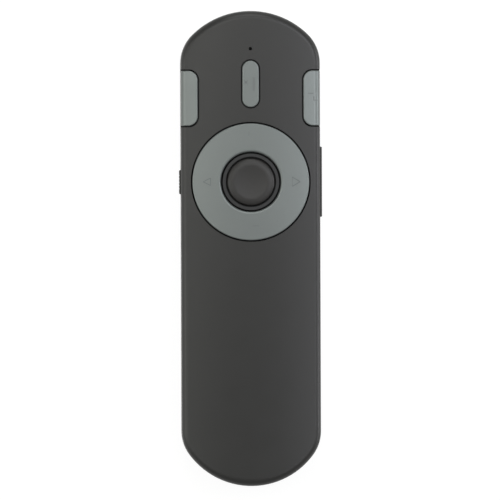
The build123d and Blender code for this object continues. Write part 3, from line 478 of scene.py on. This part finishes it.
# %% [markdown]
# ## Housing screws
#
# Four self-tapping screws hold the case halves together, two of them seen from
# below at the front. A screw is a turned body, a cross recess and a thread. For
# the recess the flat of the head is cut by planes, and the faces of the cross are
# extruded inwards and drawn together, as the punch leaves them. The thread is a
# small triangle spun round the core while it climbs by one pitch a turn.

# %% Cross recess
ARM_LENGTH, ARM_HALF, RECESS_DEPTH = 1.05 * MM, 0.24 * MM, 0.75 * MM
RECESS_TAPER = 0.62


def cross_recess(shape):
    """Sinks a cross into the flat face at the bottom of the head."""
    rim = [edge for edge in shape.edges if len(edge.link_faces) == 1]
    bmesh.ops.holes_fill(shape, edges=rim, sides=0)
    for axis in (Vector((1, 0, 0)), Vector((0, 1, 0))):
        for offset in (-ARM_LENGTH, -ARM_HALF, ARM_HALF, ARM_LENGTH):
            low = [face for face in shape.faces if face.calc_center_median().z < TINY]
            around = unique(edge for face in low for edge in face.edges)
            corners = unique(vert for face in low for vert in face.verts)
            flat = low + around + corners
            cut = axis * offset
            bmesh.ops.bisect_plane(shape, geom=flat, plane_co=cut, plane_no=axis)
    cross = []
    for face in shape.faces:
        centre = face.calc_center_median()
        across, along = sorted((abs(centre.x), abs(centre.y)))
        if centre.z < TINY and across < ARM_HALF and along < ARM_LENGTH:
            cross.append(face)
    sunk = bmesh.ops.extrude_face_region(shape, geom=cross)["geom"]
    floor = [item for item in sunk if isinstance(item, bmesh.types.BMVert)]
    bmesh.ops.translate(shape, verts=floor, vec=(0, 0, RECESS_DEPTH))
    bmesh.ops.scale(shape, verts=floor, vec=(RECESS_TAPER, RECESS_TAPER, 1.0))
    lids = [face for face in cross if face.is_valid]
    bmesh.ops.delete(shape, geom=lids, context="FACES")


print("cross recess ready")

# %% One screw
HEAD_RADIUS, HEAD_HEIGHT, HEAD_EASE = 1.9 * MM, 1.2 * MM, 0.35 * MM
POINT_LENGTH, POINT_RADIUS = 1.2 * MM, 0.35 * MM
CORE_RADIUS, CREST_RADIUS, PITCH = 0.76 * MM, 0.99 * MM, 0.8 * MM
RIDGE_ROOT, RIDGE_HALF = CORE_RADIUS - 0.04 * MM, 0.22 * MM
THREAD_START, NO_THREAD = 0.9 * MM, 3.2 * MM
THREAD_STEPS = 20


def screw(shape, x, y, seat_z, length):
    """One screw, its head below the seat and its point up."""
    single = bmesh.new()
    point_z = HEAD_HEIGHT + length
    profile = [
        (HEAD_RADIUS - HEAD_EASE, 0.0), (HEAD_RADIUS - 0.1 * MM, 0.12 * MM),
        (HEAD_RADIUS, HEAD_EASE), (HEAD_RADIUS, HEAD_HEIGHT),
        (CORE_RADIUS, HEAD_HEIGHT), (CORE_RADIUS, point_z - POINT_LENGTH),
        (POINT_RADIUS, point_z - 0.1 * MM), (0.0, point_z),
    ]
    turned(single, profile, 32)
    cross_recess(single)
    start = HEAD_HEIGHT + THREAD_START
    ridge = [
        single.verts.new((RIDGE_ROOT, 0.0, start - RIDGE_HALF)),
        single.verts.new((CREST_RADIUS, 0.0, start)),
        single.verts.new((RIDGE_ROOT, 0.0, start + RIDGE_HALF)),
    ]
    blade = single.faces.new(ridge)
    turns = int((length - NO_THREAD) / PITCH)
    bmesh.ops.spin(
        single,
        geom=ridge + blade.edges[:] + [blade],
        cent=(0.0, 0.0, 0.0),
        axis=(0.0, 0.0, 1.0),
        dvec=(0.0, 0.0, PITCH / THREAD_STEPS),
        angle=math.tau * turns,
        steps=THREAD_STEPS * turns,
        use_merge=False,
    )
    place = Matrix.Translation((x, y, seat_z - HEAD_HEIGHT))
    bmesh.ops.transform(single, matrix=place, verts=single.verts[:])
    mesh = bpy.data.meshes.new("one_screw")
    single.to_mesh(mesh)
    single.free()
    shape.from_mesh(mesh)
    bpy.data.meshes.remove(mesh)


print("screw ready")

# %% Screws
screws = bmesh.new()
for side in (-1, 1):
    screw(screws, side * 9.0 * MM, 52.5 * MM, 3.0 * MM, 11.0 * MM)
    screw(screws, side * 10.8 * MM, -53.0 * MM, 4.75 * MM, 7.0 * MM)
zinc = finishes["screw_steel"]
piece("cross_head_screws", screws, zinc, "housing", "screw_steel", "housing_screws")

# %% [markdown]
# ## The centre cap
#
# The cap in the middle of the ring has a shallow dish for the thumb and a shoulder
# that falls off gently, then steeply at its edge. A quarter of an ellipse, wider
# than it is high, draws that shoulder. The whole section, with the hollow and the
# stem underneath, is one chain from the axis to the axis, in millimetres, spun about
# the cap's own axis.

# %% Centre cap
CAP_Y = 17.95 * MM
CAP_RADIUS, RIM_RADIUS, CAP_TOP = 6.35, 4.5, 18.8
SHOULDER_DROP, DISH_DEPTH = 1.0, 0.3
STEM_RADIUS, HOLLOW_RADIUS, ROOF_Z = 1.1, 5.15, 17.0
FLANGE_RADIUS, FLANGE_FOOT, FLANGE_TOP = 6.65, 13.7, 14.5
SHOULDER_STEPS, DISH_STEPS = 14, 12

stem_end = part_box("centre_button")[0][2] / MM
cap_profile = [(0.0, stem_end), (STEM_RADIUS, stem_end), (STEM_RADIUS, ROOF_Z)]
cap_profile += [(HOLLOW_RADIUS, ROOF_Z), (HOLLOW_RADIUS, FLANGE_FOOT)]
cap_profile += [(FLANGE_RADIUS, FLANGE_FOOT), (FLANGE_RADIUS, FLANGE_TOP)]
cap_profile.append((CAP_RADIUS, FLANGE_TOP))
for step in range(SHOULDER_STEPS + 1):
    angle = math.radians(90 * step / SHOULDER_STEPS)
    out = RIM_RADIUS + (CAP_RADIUS - RIM_RADIUS) * math.cos(angle)
    cap_profile.append((out, CAP_TOP - SHOULDER_DROP * (1 - math.sin(angle))))
for step in range(DISH_STEPS - 1, -1, -1):
    share = step / DISH_STEPS
    cap_profile.append((RIM_RADIUS * share, CAP_TOP - DISH_DEPTH * (1 - share * share)))
cap = bmesh.new()
turned(cap, [(r * MM, h * MM) for r, h in cap_profile], 96)
bmesh.ops.translate(cap, verts=cap.verts[:], vec=(0.0, CAP_Y, 0.0))
dark = finishes["cap_dark"]
piece("dished_cap", cap, dark, "centre_cap", "cap_dark", "centre_button")

# %% [markdown]
# ## The receiver's plug
#
# The little receiver ends in a plug of folded sheet steel with four square windows
# and gold-plated strips on its plastic tongue. A block without its two ends is the
# folded tube; its long edges are rounded, planes cut the outlines of the windows,
# and the faces between them are taken out before the sheet gets its thickness.

# %% Plug shell
PLUG = Vector((12.0, 11.8, 4.5)) * MM
PLUG_CENTRE = Vector((0.0, -53.5, 9.3)) * MM
SHEET, FOLD_RADIUS = 0.3 * MM, 0.7 * MM
WINDOW_X, WINDOW_Y = (1.35 * MM, 3.65 * MM), (-0.9 * MM, 1.4 * MM)

shell = bmesh.new()
bmesh.ops.create_cube(shell, size=1.0)
bmesh.ops.scale(shell, verts=shell.verts[:], vec=PLUG)
ends = [face for face in shell.faces if abs(face.normal.y) > 0.5]
bmesh.ops.delete(shell, geom=ends, context="FACES_ONLY")
folds = [edge for edge in shell.edges if len(edge.link_faces) == 2]
bmesh.ops.bevel(
    shell, geom=folds, offset=FOLD_RADIUS, offset_type="OFFSET", segments=5,
    profile=0.5, affect="EDGES", material=-1,
)
cuts = [(Vector((1, 0, 0)), side * x) for x in WINDOW_X for side in (-1, 1)]
cuts += [(Vector((0, 1, 0)), y) for y in WINDOW_Y]
for normal, offset in cuts:
    everything = shell.verts[:] + shell.edges[:] + shell.faces[:]
    cut = normal * offset
    bmesh.ops.bisect_plane(shell, geom=everything, plane_co=cut, plane_no=normal)
windows = []
for face in shell.faces:
    centre = face.calc_center_median()
    in_x = WINDOW_X[0] < abs(centre.x) < WINDOW_X[1]
    if in_x and WINDOW_Y[0] < centre.y < WINDOW_Y[1] and abs(face.normal.z) > 0.9:
        windows.append(face)
bmesh.ops.delete(shell, geom=windows, context="FACES")
bmesh.ops.recalc_face_normals(shell, faces=shell.faces[:])
bmesh.ops.solidify(shell, geom=shell.faces[:], thickness=SHEET)
bmesh.ops.translate(shell, verts=shell.verts[:], vec=PLUG_CENTRE)
plug = piece(
    "plug_sheet_shell", shell, finishes["contact_nickel"], "receiver",
    "contact_nickel", "receiver_plug_shell",
)
print(len(windows), "windows; plug", [round(side / MM, 2) for side in plug.dimensions])

# %% Plug contacts
STRIP_FRONT, STRIP_REAR, STRIP_Z = -48.3, -57.5, 9.17
STRIP_WIDTH, STRIP_THICK, STRIP_EASE = 1.0, 0.1, 0.03

strips = bmesh.new()
for x, set_back in ((-3.5, 0.0), (-1.0, 1.0), (1.0, 1.0), (3.5, 0.0)):
    front = STRIP_FRONT - set_back
    middle = Vector((x, (front + STRIP_REAR) / 2, STRIP_Z)) * MM
    size = Vector((STRIP_WIDTH, front - STRIP_REAR, STRIP_THICK)) * MM
    place = Matrix.Translation(middle) @ Matrix.Diagonal((*size, 1.0))
    made = bmesh.ops.create_cube(strips, size=1.0, matrix=place)["verts"]
    rim = unique(edge for vert in made for edge in vert.link_edges)
    upper = [edge for edge in rim if all(vert.co.z > middle.z for vert in edge.verts)]
    bmesh.ops.bevel(
        strips, geom=upper, offset=STRIP_EASE * MM, offset_type="OFFSET", segments=2,
        profile=0.5, affect="EDGES", material=-1,
    )
piece("plug_contacts", strips, gold_plate, "receiver", "brass_barrel")

# %% [markdown]
# ## Rubber domes under the keys
#
# Each key stands on a small rubber dome that gives way when the key goes down. A
# dome is a short cone with an eased top, spun like the other round pieces. The table
# gives each dome its key's joint and the share of its height that leaves the key's
# stem just enough room; the domes under the ring go with the ring's tilts. The script
# doesn't read the joint or the share, so the domes keep their shape.

# %% Rubber domes
DOME_FOOT, DOME_TOP, DOME_EASE = 1.3 * MM, 0.8 * MM, 0.1 * MM
DOMES = {
    "dial_dome_front": ("ring_tilt_front_rear", 0.62),
    "dial_dome_rear": ("ring_tilt_front_rear", 0.62),
    "dial_dome_left": ("ring_tilt_left_right", 0.62),
    "dial_dome_right": ("ring_tilt_left_right", 0.62),
    "centre_dome": ("centre_press", 0.44),
    "laser_dome": ("laser_key_press", 0.54),
    "left_key_dome": ("left_key_press", 0.54),
    "right_key_dome": ("right_key_press", 0.54),
}
rubber = finishes["silicone"]
for node, (joint, kept_share) in DOMES.items():
    low, high = Vector(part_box(node)[0]), Vector(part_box(node)[1])
    foot = Vector(((low.x + high.x) / 2, (low.y + high.y) / 2, low.z))
    tall = high.z - low.z
    side = [(0.0, 0.0), (DOME_FOOT, 0.0), (DOME_TOP + DOME_EASE / 2, tall - DOME_EASE)]
    dome = bmesh.new()
    turned(dome, side + [(DOME_TOP - DOME_EASE / 2, tall), (0.0, tall)], 40)
    bmesh.ops.translate(dome, verts=dome.verts[:], vec=foot)
    made = piece("soft_" + node, dome, rubber, "housing", "silicone", node)
    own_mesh(made)
print(len(DOMES), "domes")

# %% [markdown]
# ## Printed marks on the keys
#
# The marks are a film of darker grey ink: an arrow at each side of the ring, short
# strokes on the other keys. A stroke is a narrow strip whose points are dropped
# onto the key from above by ray casting, so it follows the curve, and then raised
# by the thickness of the ink. Each mark rides on the key it is printed on. Places
# and widths of marks are in millimetres.

# %% Ink and strokes
INK = 0.014 * MM
SUNK = 0.02 * MM
ABOVE_ALL = 30 * MM
STROKE_STEP = 0.4 * MM
DOWN = Vector((0, 0, -1))
ink = moulded("grey_key_ink", srgb(88, 93, 91), 0.4, 0.15 * MM, FINE, 0.02)
faint_ink = moulded("faint_key_ink", srgb(98, 103, 101), 0.4, 0.15 * MM, FINE, 0.02)
pale_ink = moulded("pale_key_ink", srgb(114, 119, 117), 0.4, 0.15 * MM, FINE, 0.02)


def surface_under(node):
    """The part's surface, ready for dropping points onto it."""
    mesh = parts[node].data
    return BVHTree.FromPolygons(
        [vert.co.copy() for vert in mesh.vertices],
        [tuple(face.vertices) for face in mesh.polygons],
    )


def drop(shape, surface, verts):
    """Lays a flat patch on the surface and gives it the thickness of ink."""
    faces = unique(face for vert in verts for face in vert.link_faces)
    for vert in verts:
        above = Vector((vert.co.x, vert.co.y, ABOVE_ALL))
        vert.co = surface.ray_cast(above, DOWN)[0] + DOWN * SUNK
    raised = bmesh.ops.extrude_face_region(shape, geom=faces)["geom"]
    upper = [item for item in raised if isinstance(item, bmesh.types.BMVert)]
    bmesh.ops.translate(shape, verts=upper, vec=(0, 0, SUNK + INK))


def stroke(shape, surface, start, end, width):
    """A straight printed line between two points."""
    first, last = Vector(start) * MM, Vector(end) * MM
    way = last - first
    turn = Matrix.Rotation(math.atan2(way.y, way.x), 4, "Z")
    size = Matrix.Diagonal((way.length, width * MM, 1.0, 1.0))
    middle = Matrix.Translation(((first + last) / 2).to_3d())
    place = middle @ turn @ size
    count = max(1, round(way.length / STROKE_STEP))
    grid = bmesh.ops.create_grid(
        shape, x_segments=count, y_segments=1, size=0.5, matrix=place
    )
    drop(shape, surface, grid["verts"])


def spot(shape, surface, centre, radius):
    """A filled round printed spot."""
    place = Matrix.Translation(Vector((*centre, 0.0)) * MM)
    disc = bmesh.ops.create_circle(
        shape, cap_ends=True, segments=20, radius=radius * MM, matrix=place
    )
    drop(shape, surface, disc["verts"])


print("ink ready")

# %% Marks on the ring
ring_top = surface_under("dial_ring")
LINE, BOLD_LINE, FINE_LINE, STROKE = 0.2, 0.25, 0.12, 0.28

left_arrow = bmesh.new()
corners = [(-12.85, 18.0), (-10.85, 19.0), (-10.85, 17.0)]
for start, end in zip(corners, corners[1:] + corners[:1]):
    stroke(left_arrow, ring_top, start, end, LINE)
piece("ring_arrow_left", left_arrow, ink, "ring_key", "key_grey")

right_arrow = bmesh.new()
stroke(right_arrow, ring_top, (11.15, 19.2), (13.3, 17.95), BOLD_LINE)
stroke(right_arrow, ring_top, (11.15, 16.7), (13.3, 17.95), BOLD_LINE)
stroke(right_arrow, ring_top, (11.15, 16.7), (11.15, 19.2), FINE_LINE)
piece("ring_arrow_right", right_arrow, ink, "ring_key", "key_grey")

ring_strokes = bmesh.new()
stroke(ring_strokes, ring_top, (-0.5, 30.4), (-0.5, 31.5), STROKE)
stroke(ring_strokes, ring_top, (0.4, 6.1), (2.2, 6.1), STROKE)
piece("ring_strokes", ring_strokes, faint_ink, "ring_key", "key_grey")

# %% Marks on the laser key and the right key
SIDE_LINE, RAY_LINE, BAR_LINE = 0.22, 0.14, 0.6
BEAM_AT = Vector((-1.25, 44.75))

pill_top = surface_under("laser_key")
beam = bmesh.new()
spot(beam, pill_top, BEAM_AT, 0.36)
for degrees in (45, 135, 225, 315):
    angle = math.radians(degrees)
    way = Vector((math.cos(angle), math.sin(angle)))
    stroke(beam, pill_top, BEAM_AT + way * 0.45, BEAM_AT + way * 0.8, RAY_LINE)
piece("laser_key_mark", beam, ink, "pill_key", "key_grey")
bar = bmesh.new()
stroke(bar, pill_top, (0.85, 42.4), (0.85, 46.1), BAR_LINE)
piece("laser_key_bar", bar, faint_ink, "pill_key", "key_grey")

side_top = surface_under("right_key")
bent = bmesh.new()
stroke(bent, side_top, (15.5, 41.75), (16.95, 41.75), SIDE_LINE)
stroke(bent, side_top, (17.0, 39.9), (18.1, 39.9), SIDE_LINE)
stroke(bent, side_top, (17.1, 39.9), (17.1, 40.95), SIDE_LINE)
piece("right_key_mark", bent, ink, "right_side_key", "key_grey")
dot = bmesh.new()
spot(dot, side_top, (17.7, 41.75), 0.26)
piece("right_key_dot", dot, pale_ink, "right_side_key", "key_grey")

# %% [markdown]
# ## Studio
#
# The clicker lies on a white table. The table is shaded like paper where it gets
# light, so it keeps the object's shadow, and most of its brightness is a glow. The
# camera and glass see the whole glow, a gloss sees a part of it, and nothing else
# does, so that it doesn't light the object from below. From underneath the table
# isn't there at all: the underside has its own soft box. The room round it is white
# too, and lights the object much less than the camera sees.

# %% Table
WHITE = (1.0, 1.0, 1.0, 1.0)
TABLE_GLOW, TABLE_BRIGHTNESS, TABLE_IN_GLOSS = 0.8, 1.13, 0.45
TABLE_SIZE, TABLE_TOP = 6.0, -0.05 * MM


def stage_plane(name, size, height):
    """A flat square under the object."""
    sheet = bmesh.new()
    place = Matrix.Translation((0.0, 0.0, height))
    half = size / 2
    bmesh.ops.create_grid(sheet, x_segments=1, y_segments=1, size=half, matrix=place)
    mesh = bpy.data.meshes.new(name)
    sheet.to_mesh(mesh)
    sheet.free()
    plane = bpy.data.objects.new(name, mesh)
    bpy.context.scene.collection.objects.link(plane)
    return plane


def seen_directly(finish, in_gloss):
    """1 for rays from the camera or through glass, less for a gloss, else 0."""
    rays = finish.node("LightPath").outputs
    mirrored = finish.math("MULTIPLY", rays["Is Glossy Ray"], in_gloss)
    camera_ray, glass_ray = rays["Is Camera Ray"], rays["Is Transmission Ray"]
    in_full = finish.math("MAXIMUM", camera_ray, glass_ray)
    return finish.math("MAXIMUM", in_full, mirrored)


paper = Finish("pale_table")
fibre = paper.noise(3 * MM)
paper.set(Base_Color=paper.mix(fibre, srgb(228, 228, 226), srgb(236, 236, 234)))
paper.set(Roughness=0.9)
glow = paper.node("Emission", [("Color", WHITE), ("Strength", TABLE_BRIGHTNESS)])
share = paper.math("MULTIPLY", seen_directly(paper, TABLE_IN_GLOSS), TABLE_GLOW)
shaders = [("Fac", share), (1, paper.shader.outputs[0]), (2, glow.outputs[0])]
lit = paper.node("MixShader", shaders)
from_below = paper.node("NewGeometry").outputs["Backfacing"]
in_shadow_test = paper.node("LightPath").outputs["Is Shadow Ray"]
gone = paper.math("MAXIMUM", from_below, in_shadow_test)
nothing = paper.node("BsdfTransparent", [("Color", WHITE)])
shaders = [("Fac", gone), (1, lit.outputs[0]), (2, nothing.outputs[0])]
surface = paper.node("MixShader", shaders)
output = paper.tree.nodes["Material Output"]
paper.tree.links.new(surface.outputs[0], output.inputs["Surface"])
stage_plane("table", TABLE_SIZE, TABLE_TOP).data.materials.append(paper.material)
print("table laid")

# %% Room
ROOM_LEVEL = 0.3
SEEN_LEVELS = {"Is Glossy Ray": 0.5, "Is Transmission Ray": 1.0, "Is Camera Ray": 1.0}

world = bpy.data.worlds.new("studio")
world.use_nodes = True
bpy.context.scene.world = world
room = world.node_tree
rays = room.nodes.new("ShaderNodeLightPath")
background = room.nodes["Background"]
background.inputs["Color"].default_value = WHITE
strength = None
for ray, ray_level in SEEN_LEVELS.items():
    level = room.nodes.new("ShaderNodeMapRange")
    level.inputs["To Min"].default_value = ROOM_LEVEL
    level.inputs["To Max"].default_value = ray_level
    room.links.new(rays.outputs[ray], level.inputs["Value"])
    if strength is not None:
        room.links.new(strength, level.inputs["To Min"])
    strength = level.outputs["Result"]
room.links.new(strength, background.inputs["Strength"])
print("room level", ROOM_LEVEL)

# %% [markdown]
# ## Soft boxes
#
# A dark satin case shows the lamps more by its sheen than by its colour. Low boxes
# at the left and right give the long edges their lighter rims, higher ones carry
# the sheen across the crown, and the front boxes lift the laser end and its rounded
# edge. The boxes at the left are a little warmer than the boxes at the right. All
# are one size, and each one has a place in metres and a power in watts.

# %% Soft boxes
BOX = (0.3, 0.16)
WARM, NEUTRAL, COOL = (1.0, 1.0, 0.955), (1.0, 1.0, 1.0), (0.99, 1.0, 1.06)
LAMPS = {
    "left_low": ((-0.448, 0.03, 0.067), 0.12),
    "left_side": ((-0.417, -0.05, 0.189), 0.2),
    "left_flank": ((-0.36, 0.05, 0.28), 0.21),
    "left_shoulder": ((-0.277, -0.05, 0.375), 0.115),
    "left_top": ((-0.197, -0.1, 0.424), 0.083),
    "left_crown": ((-0.124, 0.15, 0.453), 0.257),
    "crown": ((0.0, 0.1, 0.4), 0.137),
    "front_low": ((0.0, 0.5, 0.2), 0.2),
    "front_middle": ((0.0, 0.42, 0.34), 0.4),
    "right_crown": ((0.124, 0.15, 0.453), 0.157),
    "right_top": ((0.197, -0.1, 0.424), 0.092),
    "right_shoulder_rear": ((0.277, -0.05, 0.375), 0.17),
    "right_shoulder": ((0.277, 0.15, 0.375), 0.42),
    "right_low": ((0.448, 0.03, 0.067), 0.54),
    "under_box": ((0.0, 0.0, -0.45), 2.0),
}


def soft_box(name, place, power, colour):
    """A rectangular lamp at a place, turned towards the object."""
    lamp = bpy.data.lights.new(name, "AREA")
    lamp.shape = "RECTANGLE"
    lamp.size, lamp.size_y = BOX
    lamp.energy = power
    lamp.color = colour
    holder = bpy.data.objects.new(name, lamp)
    bpy.context.scene.collection.objects.link(holder)
    holder.location = place
    way = -Vector(place)
    holder.rotation_euler = way.to_track_quat("-Z", "Y").to_euler()
    holder.visible_camera = False


for name, (place, power) in LAMPS.items():
    colour = WARM if place[0] < 0 else COOL if place[0] > 0 else NEUTRAL
    soft_box(name, place, power, colour)
print(len(LAMPS), "soft boxes")

# %% [markdown]
# ## Camera
#
# The camera looks down from far away through a long lens, so that the sides of the
# clicker stay out of sight, as in a catalogue picture. It leans a little to the
# left of upright, and is turned back until it aims at the middle of the keys.

# %% Camera
FRAME_WIDTH = 134.8 * MM
FOCAL_LENGTH, SENSOR_WIDTH = 900.0, 36.0
LEAN, ROLL = math.radians(-1.3), math.radians(-0.2)
AIM = Vector((-0.2, -0.4, 13.0)) * MM

lens = bpy.data.cameras.new("camera")
lens.lens = FOCAL_LENGTH
lens.sensor_width = SENSOR_WIDTH
distance = FRAME_WIDTH * FOCAL_LENGTH / SENSOR_WIDTH
lens.clip_start, lens.clip_end = 0.05, 20.0
camera = bpy.data.objects.new("camera", lens)
bpy.context.scene.collection.objects.link(camera)
turn = Euler((0.0, LEAN, ROLL))
camera.location = AIM + turn.to_matrix() @ Vector((0.0, 0.0, distance))
camera.rotation_euler = turn
bpy.context.scene.camera = camera
bpy.context.scene.view_settings.view_transform = "Standard"
print("camera", round(distance, 3), "m above the keys")
